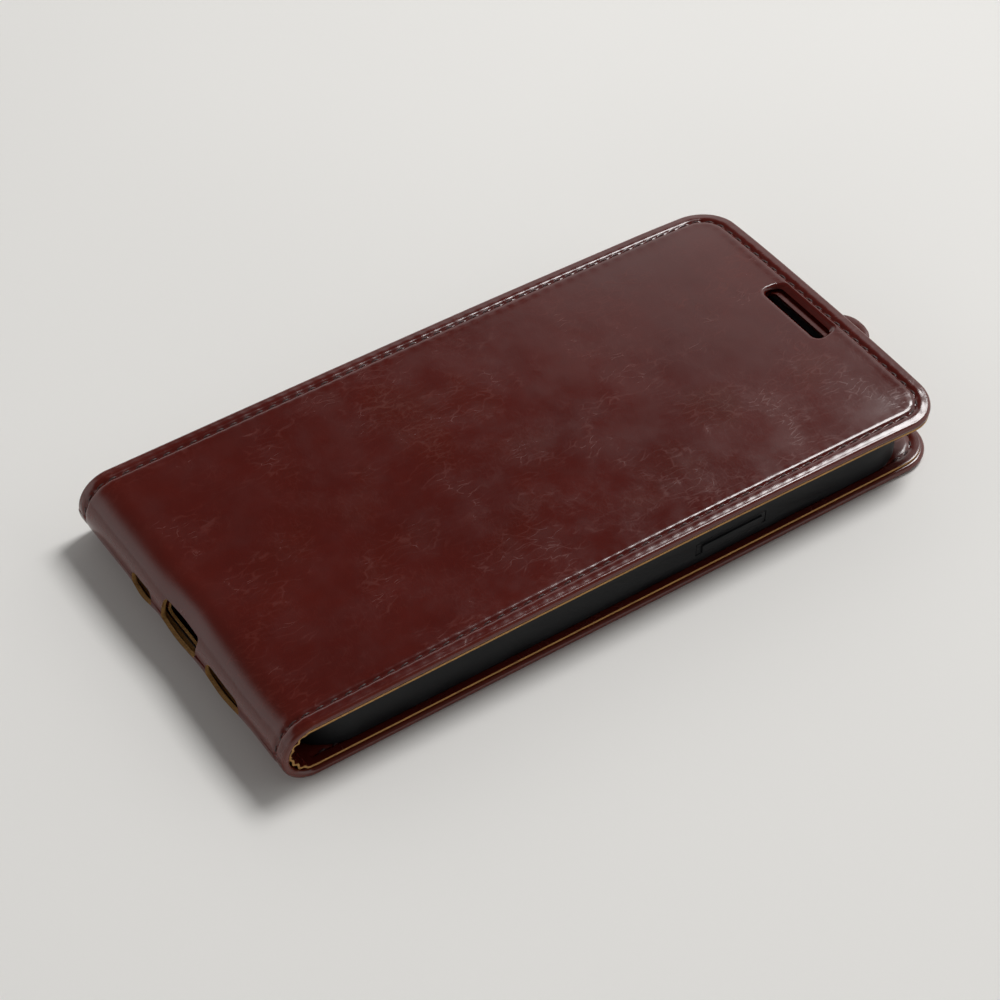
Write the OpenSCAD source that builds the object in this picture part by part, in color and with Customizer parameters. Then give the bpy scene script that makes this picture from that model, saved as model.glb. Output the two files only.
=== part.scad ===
// Flip-style phone wallet case: back panel with a phone tray, half-round
// leather spine, cover with card pockets, and a pull tab.
// X runs across the case, Y from the spine to the free end, Z up.
// The origin is on the back panel's outer face, midway along and across.

/* [Case] */
// Width of the case
case_w = 78.2; // [74:0.2:90]
// Length from the spine's outer face to the panels' free edge
case_len = 154.2; // [140:0.2:170]
// Thickness of the closed case
case_t = 14; // [13.6:0.1:16]
// Corner radius at the free end
corner_r = 8.5; // [6:0.5:11]

/* [Leather] */
// Thickness of the outer leather
skin_t = 0.85; // [0.7:0.05:1]
// Thickness of the stiffening board
board_t = 0.75; // [0.6:0.05:0.9]
// Thickness of the lining
lining_t = 0.6; // [0.5:0.05:0.7]
// Width of the leather turned in at the edge
turn_w = 4.2; // [4:0.1:6]
// Distance from the turned edge to the raw edge of the lining
lining_inset = 0.9; // [0.5:0.1:1.5]

/* [Seam] */
// Distance from the edge to the line of stitches
seam_inset = 3; // [2.4:0.1:3.4]
// Length of one stitch and the space after it
stitch_pitch = 3; // [2.5:0.1:4]
// Thread diameter
thread_d = 0.36; // [0.3:0.02:0.4]

/* [Phone] */
// Width of the phone
phone_w = 71.2; // [66:0.2:73]
// Length of the phone
phone_len = 142; // [130:0.2:142.6]
// Thickness of the phone
phone_t = 7.4; // [6.5:0.1:7.6]
// Corner radius of the phone
phone_r = 10; // [6:0.5:12]

/* [Tray] */
// Wall of the phone tray
tray_wall = 1.3; // [1.1:0.1:1.5]
// Floor of the phone tray
tray_floor = 0.8; // [0.6:0.1:1]
// Overhang of the lip that holds the phone in
lip_w = 1.1; // [0.6:0.1:1.5]
// Height of the lip
lip_t = 0.5; // [0.4:0.1:0.6]
// Space between the spine's inner face and the tray
tray_gap = 2.6; // [2.4:0.1:4]

/* [Tab] */
// Width of the pull tab
tab_w = 12; // [10:0.5:22]
// Length of the pull tab beyond the panel's free edge
tab_reach = 11.3; // [8:0.1:14]
// Corner radius of the pull tab
tab_r = 5.5; // [4:0.5:6]

/* [Card pockets] */
// Width of the card pockets
pocket_w = 62; // [58:0.5:64]
// Length of the rear pocket, along the cover
pocket_len = 84; // [80:0.5:88]
// Step from the rear pocket's mouth to the front pocket's mouth
pocket_step = 14; // [10:0.5:18]
// Thickness of a pocket's leather
pocket_t = 0.42; // [0.3:0.02:0.45]

/* [Hidden] */
$fn = 64;
overall_len = case_len + tab_reach;
hinge_y = -overall_len / 2;
free_y = hinge_y + case_len;
bend_r = case_t / 2;
bend_y = hinge_y + bend_r;
mid_z = case_t / 2;
panel_t = skin_t + board_t + lining_t;
turned_t = skin_t + board_t;
lining_bend_r = bend_r - turned_t;
board_start_y = bend_y + 1.5;
join_w = 0.02;
fold_angle = 45;
groove_w = thread_d + 0.24;
groove_t = thread_d + 0.08;
stitch_len = stitch_pitch * 0.74;
seam_x = case_w / 2 - seam_inset;
seam_end_y = free_y - seam_inset;
seam_corner_r = corner_r - seam_inset;
adhesive_t = 0.15;
tray_z = panel_t + adhesive_t;
tray_w = phone_w + 2 * tray_wall;
tray_len = phone_len + 2 * tray_wall;
tray_start_y = hinge_y + panel_t + tray_gap;
tray_bend_r = lining_bend_r - lining_t - 0.3;
tray_mid_y = tray_start_y + tray_len / 2;
tray_end_y = tray_start_y + tray_len;
phone_z = tray_z + tray_floor;
lip_z = phone_z + phone_t + 0.1;
tray_top = lip_z + lip_t;
cover_inner_z = case_t - panel_t;
spine_slot_low_z = 6;
port_slot_h = 4.7;
small_slot_h = 3.8;
port_slot = [0.8, 12.8, spine_slot_low_z, port_slot_h];
mic_slot = [-13.3, 7.6, 5, small_slot_h];
speaker_slot = [17.2, 12.2, 5, small_slot_h];
slot_end_r = 1.7;
slot_depth = 8;
camera_w = 22;
camera_h = 11;
camera_r = 4;
camera_x = -20;
camera_inset = 14;
camera_y = tray_end_y - camera_inset;
earpiece_w = 17.6;
earpiece_h = 3.9;
earpiece_rim_w = 20;
earpiece_rim_h = 5.6;
earpiece_inset = 7.3;
earpiece_y = free_y - earpiece_inset;
earpiece_press = 0.5;
magnet_w = 18;
magnet_h = 7;
magnet_t = board_t - 0.05;
magnet_x = 22.5;
magnet_inset = 3.4;
magnet_y = tray_end_y - magnet_inset;
strip_w = 9;
strip_x = 11;
strip_h = 5;
strip_t = 0.5;
key_h = 3;
key_stand = 0.55;
key_gap = 0.1;
key_rise = 3.6;
key_z = tray_z + key_rise;
key_pad_h = key_h - 1;
key_pad_inset = 1.2;
volume_len = 17;
volume_from_hinge = 102;
volume_y = hinge_y + volume_from_hinge;
power_len = 10;
power_from_hinge = 104;
power_y = hinge_y + power_from_hinge;
audio_w = 9;
audio_x = 21;
audio_rise = 2.6;
audio_z = tray_z + audio_rise;
pocket_from_hinge = 131;
pocket_end_y = hinge_y + pocket_from_hinge;
pocket_r = 3;
pocket_seam_inset = 2;
pocket_track_t = 0.2;
pocket_track_w = 0.4;
pocket_thread = [0.3, 0.14];
fold_gap = 0.3;
spine_arc = fold_angle - fold_gap;
tab_root = 8;
tab_clear = 0.1;
tab_gap = 0.3;
tab_z = 0.5;
tab_skin_t = 0.65;
tab_lining_t = 0.6;
tab_top_z = tab_z + tab_skin_t + tab_lining_t;
tab_seam_inset = 2.2;
tab_groove_t = 0.42;
adhesive_inset = 5;
leather_red = [0.36, 0.08, 0.06];
lining_red = [0.3, 0.09, 0.06];
thread_brown = [0.22, 0.05, 0.04];
board_grey = [0.62, 0.6, 0.55];
tray_black = [0.07, 0.07, 0.08];
adhesive_white = [0.85, 0.84, 0.8];
steel_grey = [0.7, 0.71, 0.73];
EPS = 0.01;

// A rectangle with all four corners round, centred on the origin.
module round_rect(w, h, r) {
    square([w, h - 2 * r], center = true);
    square([w - 2 * r, h], center = true);
    for (sx = [-1, 1], sy = [-1, 1]) {
        translate([sx * (w / 2 - r), sy * (h / 2 - r)]) circle(r = r);
    }
}

// A slot with half-round ends, w long over its ends, centred on the origin.
module slot_shape(w, h) {
    square([w - h, h], center = true);
    for (s = [-1, 1]) {
        translate([s * (w - h) / 2, 0]) circle(d = h);
    }
}

// The outline of a panel from y0 to the free edge, inset all round but at y0.
module panel_outline(inset, y0) {
    half = case_w / 2 - inset;
    r = corner_r - inset;
    top = free_y - inset;
    translate([-half, y0]) square([2 * half, top - r - y0]);
    translate([-half + r, y0]) square([2 * (half - r), top - y0]);
    for (s = [-1, 1]) {
        translate([s * (half - r), top - r]) circle(r = r);
    }
}

// A ring sector in the Y-Z plane about the bend's centre, run across X.
// Angle 0 points at the spine's outermost line, and +90 is the cover's side.
module bend_sector(r_in, r_out, a0, a1, half) {
    far = 3 * bend_r;
    step = (a1 - a0) / 12;
    translate([-half, bend_y, mid_z]) rotate([90, 0, 90]) linear_extrude(2 * half) intersection() {
        difference() {
            circle(r = r_out);
            circle(r = r_in);
        }
        polygon(concat([[0, 0]], [for (a = [a0:step:a1 + step / 2]) far * [-cos(a), sin(a)]]));
    }
}

// One leather sheet's flat panel with its turned edge, and its part of the bend.
module panel_skin() {
    difference() {
        linear_extrude(turned_t) panel_outline(0, bend_y - join_w);
        translate([0, 0, skin_t]) linear_extrude(turned_t) panel_outline(turn_w, board_start_y);
    }
    bend_sector(bend_r - skin_t, bend_r, -90, -fold_angle, case_w / 2);
    turned_bend(-90, -fold_angle);
}

// The turned edges along both sides of the bend.
module turned_bend(a0, a1) {
    for (s = [-1, 1]) {
        translate([s * (case_w - turn_w) / 2, 0, 0])
            bend_sector(bend_r - turned_t, bend_r, a0, a1, turn_w / 2);
    }
}

// The groove that the thread is pulled into, on a panel's outer face.
module seam_groove() {
    translate([0, 0, -EPS]) linear_extrude(groove_t + EPS) seam_track();
    bend_groove(bend_r - groove_t, bend_r + EPS, -90, -fold_angle);
}

// The groove round the bend on both sides.
module bend_groove(r_in, r_out, a0, a1) {
    for (s = [-1, 1]) {
        translate([s * seam_x, 0, 0]) bend_sector(r_in, r_out, a0, a1, groove_w / 2);
    }
}

// The seam's track in plan: two sides, two round corners and the free end.
module seam_track() {
    corner_x = seam_x - seam_corner_r;
    corner_y = seam_end_y - seam_corner_r;
    start_y = bend_y - join_w;
    for (s = [-1, 1]) {
        translate([s * seam_x - groove_w / 2, start_y]) square([groove_w, corner_y - start_y]);
        translate([s * corner_x, corner_y]) corner_track(s);
    }
    translate([-corner_x, seam_end_y - groove_w / 2]) square([2 * corner_x, groove_w]);
}

// A quarter ring for the track's corner on side s.
module corner_track(s) {
    intersection() {
        difference() {
            circle(r = seam_corner_r + groove_w / 2);
            circle(r = seam_corner_r - groove_w / 2);
        }
        translate([s > 0 ? 0 : -corner_r, 0]) square(corner_r);
    }
}

// One stitch: a short thread lying along +Y, with its middle at the origin.
module stitch(len = stitch_len) {
    rotate([90, 0, 0]) cylinder(d = thread_d, h = len, center = true, $fn = 16);
}

// Stitches along a panel's seam at height z.
module panel_stitches(z) {
    run = seam_end_y - seam_corner_r - bend_y;
    side_n = floor(run / stitch_pitch);
    side_step = run / side_n;
    corner_n = floor(seam_corner_r * PI / 2 / stitch_pitch);
    end_run = 2 * (seam_x - seam_corner_r);
    end_n = floor(end_run / stitch_pitch);
    end_step = end_run / end_n;
    for (s = [-1, 1]) {
        for (i = [0:side_n - 1]) {
            translate([s * seam_x, bend_y + (i + 0.5) * side_step, z]) stitch();
        }
        for (i = [0:corner_n - 1]) {
            translate([s * (seam_x - seam_corner_r), seam_end_y - seam_corner_r, z])
                rotate([0, 0, s * 90 * ((i + 0.5) / corner_n - 1)])
                    translate([0, seam_corner_r, 0]) rotate([0, 0, 90]) stitch(stitch_len * 0.9);
        }
    }
    for (i = [0:end_n - 1]) {
        translate([-end_run / 2 + (i + 0.5) * end_step, seam_end_y, z]) rotate([0, 0, 90]) stitch();
    }
}

// Stitches round the bend at both sides, at the given angles.
module bend_stitches(angles) {
    sag = pow(stitch_len, 2) / (8 * bend_r);
    r = bend_r - groove_t + thread_d / 2 + EPS;
    for (s = [-1, 1], a = angles) {
        translate([s * seam_x, bend_y, mid_z]) rotate([-a, 0, 0])
            translate([0, -r, 0]) rotate([90, 0, 0]) stitch(stitch_len - sag);
    }
}

// Mirrors the back panel's shapes to the cover's side.
module to_cover() {
    translate([0, 0, case_t]) mirror([0, 0, 1]) children();
}

// A slot through the spine and the tray's end wall: [x, width, low z, height].
module end_slot(slot, grow = 0) {
    w = slot[1] + 2 * grow;
    h = slot[3] + 2 * grow;
    translate([slot[0], hinge_y - 1, slot[2] + slot[3] / 2]) rotate([-90, 0, 0])
        linear_extrude(slot_depth) round_rect(w, h, slot_end_r);
}

module end_slots(grow = 0) {
    end_slot(port_slot, grow);
    end_slot(mic_slot, grow);
    end_slot(speaker_slot, grow);
}

// The camera window, right through the back panel and the tray's floor.
module camera_window(grow = 0) {
    translate([camera_x, camera_y, -1]) linear_extrude(phone_z + 2)
        round_rect(camera_w + 2 * grow, camera_h + 2 * grow, camera_r + grow);
}

// The earpiece slot, right through the cover.
module earpiece_slot(grow = 0) {
    translate([0, earpiece_y, cover_inner_z - 1]) linear_extrude(panel_t + 2)
        slot_shape(earpiece_w + 2 * grow, earpiece_h + 2 * grow);
}

// The pressed rim round the earpiece slot.
module earpiece_rim() {
    translate([0, earpiece_y, case_t - earpiece_press]) linear_extrude(2)
        slot_shape(earpiece_rim_w, earpiece_rim_h);
}

module back_skin() {
    color(leather_red) difference() {
        panel_skin();
        seam_groove();
        camera_window();
        tab_slit();
    }
}

// The slit in the turned edge that the pull tab's root is sewn into.
module tab_slit() {
    translate([-tab_w / 2 - tab_clear, free_y - tab_root - tab_clear, skin_t])
        cube([tab_w + 2 * tab_clear, tab_root + 1, panel_t]);
}

module back_board() {
    color(board_grey) difference() {
        translate([0, 0, skin_t]) linear_extrude(board_t) panel_outline(turn_w + 0.1, board_start_y + 0.1);
        camera_window(1);
        tab_slit();
    }
}

// The flat part of a lining, and its part of the bend.
module panel_lining() {
    difference() {
        translate([0, 0, turned_t]) linear_extrude(lining_t) panel_outline(lining_inset, bend_y - join_w);
        translate([0, 0, panel_t - groove_t]) linear_extrude(1) seam_track();
    }
    bend_sector(lining_bend_r - lining_t, lining_bend_r, -90, -fold_angle, case_w / 2 - lining_inset);
}

module back_lining() {
    color(lining_red) difference() {
        panel_lining();
        camera_window(0.5);
    }
}

module back_seam() {
    color(thread_brown) {
        panel_stitches(groove_t - thread_d / 2 - 0.01);
        panel_stitches(panel_t - groove_t + thread_d / 2 + 0.01);
        bend_stitches([-78.75, -56.25]);
    }
}

// The tray's plan, grown or shrunk from its outside.
module tray_plan(inset) {
    r = phone_r + tray_wall - inset;
    translate([0, tray_mid_y]) round_rect(tray_w - 2 * inset, tray_len - 2 * inset, r);
}

// The room inside the bend's lining, which the tray's end wall is rounded to fit.
module bend_room() {
    translate([0, bend_y, mid_z]) rotate([90, 0, 90]) linear_extrude(case_w, center = true) {
        circle(r = tray_bend_r);
        translate([0, -mid_z]) square([case_len, case_t]);
    }
}

module phone_tray() {
    color(tray_black) difference() {
        intersection() {
            translate([0, 0, tray_z]) linear_extrude(tray_top - tray_z) tray_plan(0);
            bend_room();
        }
        translate([0, 0, phone_z]) linear_extrude(lip_z - phone_z) tray_plan(tray_wall);
        translate([0, 0, phone_z]) linear_extrude(tray_top) tray_plan(tray_wall + lip_w);
        end_slots(0.3);
        camera_window();
        key_window(1, volume_y, volume_len);
        key_window(-1, power_y, power_len);
        audio_notch();
        catch_blocks();
    }
}

// The window in a side wall that a key pad sits in.
module key_window(side, y, len) {
    translate([side * (tray_w - tray_wall) / 2, y, key_z]) cube([2 * tray_wall, len, key_h], center = true);
}

// The open notch for the headset plug, in the free end's wall.
module audio_notch() {
    depth = tray_wall + lip_w + 2;
    translate([audio_x - audio_w / 2, tray_end_y - depth + 1, audio_z]) cube([audio_w, depth, case_t]);
}

// The two flat blocks of steel that are moulded into the tray's end wall.
module catch_blocks() {
    z = lip_z - strip_h / 2 + 0.1;
    for (s = [-1, 1]) {
        translate([s * strip_x, tray_end_y - tray_wall / 2, z])
            cube([strip_w, strip_t, strip_h], center = true);
    }
}

module catch_strips() {
    color(steel_grey) catch_blocks();
}

module tray_adhesive() {
    color(adhesive_white) difference() {
        translate([0, tray_mid_y, panel_t]) linear_extrude(adhesive_t)
            round_rect(tray_w - 2 * adhesive_inset, tray_len - 2 * adhesive_inset, adhesive_inset - 1);
        camera_window(1);
    }
}

// A key pad: a core in the wall's window and a raised bar outside it.
module key_pad(side, y, len) {
    core_x = side * (tray_w - tray_wall) / 2;
    bar_x = side * (tray_w / 2 + key_stand / 2 - EPS);
    color(tray_black) {
        translate([core_x, y, key_z])
            cube([tray_wall, len - 2 * key_gap, key_h - 2 * key_gap], center = true);
        translate([bar_x, y, key_z]) cube([key_stand, len - 2 * key_pad_inset, key_pad_h], center = true);
    }
}

module volume_key_pad() {
    key_pad(1, volume_y, volume_len);
}

module power_key_pad() {
    key_pad(-1, power_y, power_len);
}

module spine_skin() {
    color(leather_red) difference() {
        union() {
            bend_sector(bend_r - skin_t, bend_r, -spine_arc, spine_arc, case_w / 2);
            turned_bend(-spine_arc, spine_arc);
        }
        bend_groove(bend_r - groove_t, bend_r + EPS, -fold_angle, fold_angle);
        end_slots();
    }
}

module spine_interlining() {
    arc = fold_angle - 4;
    r_in = lining_bend_r + 0.05;
    r_out = bend_r - skin_t - 0.05;
    color(board_grey) difference() {
        bend_sector(r_in, r_out, -arc, arc, case_w / 2 - turn_w - 0.1);
        end_slots(0.4);
    }
}

module spine_lining() {
    color(lining_red) difference() {
        bend_sector(lining_bend_r - lining_t, lining_bend_r, -spine_arc, spine_arc,
            case_w / 2 - lining_inset);
        end_slots();
    }
}

module spine_seam() {
    color(thread_brown) bend_stitches([-33.75, -11.25, 11.25, 33.75]);
}

module cover_skin() {
    color(leather_red) difference() {
        to_cover() difference() {
            panel_skin();
            seam_groove();
        }
        earpiece_slot();
        earpiece_rim();
    }
}

// The pocket in the board for one magnet on side s.
module magnet_block(s, grow) {
    translate([s * magnet_x, magnet_y, cover_inner_z + lining_t + board_t / 2])
        cube([magnet_w + 2 * grow, magnet_h + 2 * grow, magnet_t + 2 * grow], center = true);
}

module cover_board() {
    gap_w = earpiece_rim_w + 1.2;
    color(board_grey) difference() {
        to_cover() translate([0, 0, skin_t]) linear_extrude(board_t)
            panel_outline(turn_w + 0.1, board_start_y + 0.1);
        translate([-gap_w / 2, earpiece_y - earpiece_rim_h, cover_inner_z])
            cube([gap_w, 4 * earpiece_rim_h, 2]);
        magnet_block(1, 0.1);
        magnet_block(-1, 0.1);
    }
}

module cover_magnets() {
    color(steel_grey) {
        magnet_block(1, 0);
        magnet_block(-1, 0);
    }
}

module cover_lining() {
    color(lining_red) difference() {
        to_cover() panel_lining();
        earpiece_slot(0.2);
    }
}

module cover_seam() {
    color(thread_brown) to_cover() {
        panel_stitches(groove_t - thread_d / 2 - 0.01);
        panel_stitches(panel_t - groove_t + thread_d / 2 + 0.01);
        bend_stitches([-78.75, -56.25]);
    }
}

// A card pocket's leaf, len long from its closed end, with its mouth towards
// the spine. Level 0 lies on the lining, and level 1 lies on that leaf.
module pocket_leaf(level, len) {
    translate([0, pocket_end_y - len / 2, cover_inner_z - (level + 1) * pocket_t])
        linear_extrude(pocket_t - 0.02) round_rect(pocket_w, len, pocket_r);
}

module rear_card_pocket() {
    color(lining_red) pocket_leaf(0, pocket_len);
}

module front_card_pocket() {
    color(lining_red) difference() {
        pocket_leaf(1, pocket_len - pocket_step);
        pocket_track();
    }
}

// The shallow track in the front pocket that its thread is pulled into.
module pocket_track() {
    len = pocket_len - pocket_step - 2 * pocket_seam_inset;
    z = cover_inner_z - 2 * pocket_t - EPS;
    for (s = [-1, 1]) {
        translate([s * (pocket_w / 2 - pocket_seam_inset), pocket_end_y - pocket_seam_inset - len / 2, z])
            linear_extrude(pocket_track_t) square([pocket_track_w, len], center = true);
    }
    translate([0, pocket_end_y - pocket_seam_inset, z]) linear_extrude(pocket_track_t)
        square([pocket_w - 2 * pocket_seam_inset, pocket_track_w], center = true);
}

module pocket_seam() {
    n = floor((pocket_len - pocket_step - 8) / stitch_pitch);
    m = floor((pocket_w - 10) / stitch_pitch);
    side_x = pocket_w / 2 - pocket_seam_inset;
    seam_y = pocket_end_y - pocket_seam_inset;
    z = cover_inner_z - 2 * pocket_t + pocket_track_t / 2;
    color(thread_brown) {
        for (s = [-1, 1], i = [1:n]) {
            translate([s * side_x, seam_y - i * stitch_pitch, z]) pocket_stitch();
        }
        for (i = [0:m - 1]) {
            translate([(i - (m - 1) / 2) * stitch_pitch, seam_y, z]) rotate([0, 0, 90]) pocket_stitch();
        }
    }
}

module pocket_stitch() {
    cube([pocket_thread[0], stitch_len, pocket_thread[1]], center = true);
}

// The pull tab's outline, from y0 to its round end.
module tab_outline(inset, y0) {
    half = tab_w / 2 - inset;
    r = tab_r - inset;
    top = free_y + tab_reach - inset;
    translate([-half, y0]) square([2 * half, top - r - y0]);
    translate([-half + r, y0]) square([2 * (half - r), top - y0]);
    intersection() {
        for (s = [-1, 1]) {
            translate([s * (half - r), top - r]) circle(r = r);
        }
        translate([-half, y0]) square([2 * half, tab_reach]);
    }
}

// The tab's root, sewn in between the back panel's turned edge and its lining.
module tab_root() {
    gap = 0.03;
    color(leather_red) translate([-tab_w / 2, free_y - tab_root, skin_t + gap])
        cube([tab_w, tab_root, board_t - 2 * gap]);
}

module tab_skin() {
    color(leather_red) translate([0, 0, tab_z]) linear_extrude(tab_skin_t) tab_outline(0, free_y + tab_gap);
}

module tab_lining() {
    color(lining_red) difference() {
        translate([0, 0, tab_z + tab_skin_t]) linear_extrude(tab_lining_t)
            tab_outline(0.2, free_y + tab_gap);
        translate([0, 0, tab_top_z - tab_groove_t]) linear_extrude(1) tab_track();
    }
}

// The track of the tab's seam: a U along its sides and round its end.
module tab_track() {
    difference() {
        tab_outline(tab_seam_inset - groove_w / 2, free_y + tab_gap);
        tab_outline(tab_seam_inset + groove_w / 2, free_y + tab_gap - 1);
    }
}

module tab_seam() {
    z = tab_top_z - tab_groove_t + thread_d / 2 + EPS;
    r = tab_r - tab_seam_inset;
    side_x = tab_w / 2 - tab_seam_inset;
    corner_y = free_y + tab_reach - tab_r;
    corner_n = 3;
    color(thread_brown) for (s = [-1, 1]) {
        translate([s * side_x, (free_y + tab_gap + corner_y) / 2, z]) stitch();
        for (i = [0:corner_n - 1]) {
            translate([s * (side_x - r), corner_y, z]) rotate([0, 0, -s * 90 * (1 - (i + 0.5) / corner_n)])
                translate([0, r, 0]) rotate([0, 0, 90]) stitch(stitch_len * 0.85);
        }
    }
}

back_skin();
back_board();
back_lining();
back_seam();
phone_tray();
tray_adhesive();
catch_strips();
tab_root();
spine_skin();
spine_interlining();
spine_lining();
spine_seam();
cover_skin();
cover_board();
cover_lining();
cover_seam();
cover_magnets();
rear_card_pocket();
front_card_pocket();
pocket_seam();
tab_skin();
tab_lining();
tab_seam();
volume_key_pad();
power_key_pad();
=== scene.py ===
import math

import bmesh
import bpy
from mathutils import Matrix, Vector, noise


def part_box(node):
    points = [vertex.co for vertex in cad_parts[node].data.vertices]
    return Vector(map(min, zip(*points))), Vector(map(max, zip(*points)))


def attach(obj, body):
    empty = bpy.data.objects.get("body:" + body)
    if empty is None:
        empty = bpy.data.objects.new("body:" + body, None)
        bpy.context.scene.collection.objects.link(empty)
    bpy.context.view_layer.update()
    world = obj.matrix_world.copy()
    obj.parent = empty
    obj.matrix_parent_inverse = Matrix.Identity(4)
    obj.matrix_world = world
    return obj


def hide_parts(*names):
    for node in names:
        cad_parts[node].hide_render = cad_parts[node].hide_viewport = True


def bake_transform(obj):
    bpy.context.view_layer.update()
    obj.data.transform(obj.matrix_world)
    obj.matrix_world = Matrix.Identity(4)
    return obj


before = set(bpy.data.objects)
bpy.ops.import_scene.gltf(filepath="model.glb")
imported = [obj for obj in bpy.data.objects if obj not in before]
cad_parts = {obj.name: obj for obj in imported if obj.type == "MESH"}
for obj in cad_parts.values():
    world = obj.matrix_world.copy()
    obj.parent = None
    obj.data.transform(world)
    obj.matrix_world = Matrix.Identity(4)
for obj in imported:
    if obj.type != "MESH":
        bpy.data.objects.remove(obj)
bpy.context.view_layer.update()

# A flip-style phone wallet case. One leather sheet runs from the cover round a
# half-round spine to the back panel. Work is in millimetres until a mesh is made.
MM = 0.001


def box_mm(node):
    low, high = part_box(node)
    return low / MM, high / MM


back_high = box_mm("back_skin")[1]
cover_high = box_mm("cover_skin")[1]
spine_low = box_mm("spine_skin")[0]
tray_high = box_mm("phone_tray")[1]
tab_low, tab_high = box_mm("tab_skin")
rear_low, rear_high = box_mm("rear_card_pocket")
front_low, front_high = box_mm("front_card_pocket")

HALF_W = back_high.x
FREE_Y = back_high.y
CASE_T = cover_high.z
HINGE_Y = spine_low.y
BEND_R = CASE_T / 2
BEND_Y = HINGE_Y + BEND_R
MID_Z = CASE_T / 2
CORNER_R = 8.5
SKIN_T = 0.85
TURNED_T = 1.6
PANEL_T = 2.2
TURN_W = 4.2
LINING_INSET = 0.9
SEAM = 3.0
SEAM_CORNER = CORNER_R - SEAM
SEAM_HALF = (
    HALF_W - CORNER_R + SEAM_CORNER * math.pi / 2
    + (FREE_Y - CORNER_R - BEND_Y) + BEND_R * math.pi / 2
)
STITCHES = round(SEAM_HALF / 3)
PITCH = SEAM_HALF / STITCHES
THREAD = 0.46
TAB_R = 5.5
EARPIECE_Y = FREE_Y - 7.3
PORTS = [(0.8, 12.8, 6.0, 4.7, 1.0), (-13.3, 7.6, 5.0, 3.8, 1.5), (17.2, 12.2, 5.0, 3.8, 1.5)]
CAMERA_WINDOW = (-20.0, tray_high.y - 14.0, 22.0, 11.0, 4.0)


def clamp(t):
    return min(1.0, max(0.0, t))


def ease(t):
    t = clamp(t)
    return t * t * (3 - 2 * t)


def bell(t, middle, width):
    return math.exp(-(((t - middle) / width) ** 2))


# The shape of the panels


def cover_rise(x, y):
    """How far the closed cover stands up from flat, bowed along and crowned across."""
    if y < BEND_Y:
        return 0.0
    t = (y - BEND_Y) / (FREE_Y - BEND_Y)
    across = 1 - (x / HALF_W) ** 2
    bow = 2.35 * t**1.25 * (1 - t) ** 1.55
    crown = 0.4 * ease(t * 2.2) * across
    side = abs(x) / HALF_W
    droop = 0.5 * ease((t - 0.55) / 0.45) * side**3 + 0.5 * ease((t - 0.86) / 0.14) * side**6
    return bow * (0.75 + 0.25 * across) + crown - droop


def on_sheet(x, run, depth, cover):
    """A point of the folded sheet: x across, run along, depth under the outer face."""
    if run >= BEND_Y:
        y, z = run, depth
        if cover:
            z -= cover_rise(x, run)
    else:
        angle = (BEND_Y - run) / BEND_R
        y = BEND_Y - (BEND_R - depth) * math.sin(angle)
        z = MID_Z - (BEND_R - depth) * math.cos(angle)
    if cover:
        z = CASE_T - z
    return Vector((x, y, z))


def sheet_place(point):
    """The same point unrolled: x, the distance along the sheet, and the depth."""
    x, y, z = point
    if y >= BEND_Y:
        if z > MID_Z:
            return Vector((x, BEND_Y - math.pi * BEND_R - (y - BEND_Y), CASE_T - z))
        return Vector((x, y, z))
    angle = math.atan2(BEND_Y - y, MID_Z - z)
    reach = math.hypot(BEND_Y - y, MID_Z - z)
    return Vector((x, BEND_Y - BEND_R * angle, BEND_R - reach))


def edge_distance(x, run, cover_side):
    """Distance from a point of the sheet to the nearest finished edge of its panel."""
    y = run if not cover_side else BEND_Y - (run - (BEND_Y - math.pi * BEND_R))
    side = HALF_W - abs(x)
    end = FREE_Y - y
    if side < CORNER_R and end < CORNER_R:
        return CORNER_R - math.hypot(CORNER_R - side, CORNER_R - end)
    return min(side, end)


def seam_place(inset, distance):
    """A point of a panel's edge line, inset from the edge, by distance from the middle of the free end."""
    sign = -1 if distance < 0 else 1
    q = abs(distance)
    straight = HALF_W - CORNER_R
    corner = SEAM_CORNER * math.pi / 2
    if q <= straight:
        return Vector((sign * q, FREE_Y - inset)), Vector((sign, 0))
    if q <= straight + corner:
        turn = (q - straight) / SEAM_CORNER
        r = CORNER_R - inset
        x = straight + r * math.sin(turn)
        y = FREE_Y - CORNER_R + r * math.cos(turn)
        return Vector((sign * x, y)), Vector((sign * math.cos(turn), -math.sin(turn)))
    run = FREE_Y - CORNER_R - (q - straight - corner)
    return Vector((sign * (HALF_W - inset), run)), Vector((0, -1))


def stitch_pull(inset, distance):
    """How far the thread pulls the leather in: a trough with a hole at each stitch's end."""
    off = (distance / PITCH - round(distance / PITCH)) * PITCH
    trough = 0.26 * bell(inset, SEAM, 0.42)
    hole = 0.22 * bell(inset, SEAM, 0.4) * bell(off, 0, 0.45)
    return trough + hole


def stitch_puff(inset, distance):
    """The swell of the leather beside the seam, full between the holes."""
    wave = 0.5 - 0.5 * math.cos(2 * math.pi * distance / PITCH)
    outer = bell(inset, 1.75, 0.75) * (0.05 + 0.07 * wave)
    inner = bell(inset, 4.3, 0.8) * (0.02 + 0.035 * wave)
    return outer + inner


def ripple(x, y, size, seed):
    return noise.noise(Vector((x / size, y / size, seed)))


# Making the meshes


def new_piece(name, verts, faces, kinds=None, materials=()):
    mesh = bpy.data.meshes.new(name)
    mesh.from_pydata([tuple(v) for v in verts], [], faces)
    for material in materials:
        mesh.materials.append(material)
    if kinds:
        mesh.polygons.foreach_set("material_index", kinds)
    mesh.update()
    piece = bpy.data.objects.new(name, mesh)
    bpy.context.scene.collection.objects.link(piece)
    return piece


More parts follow.
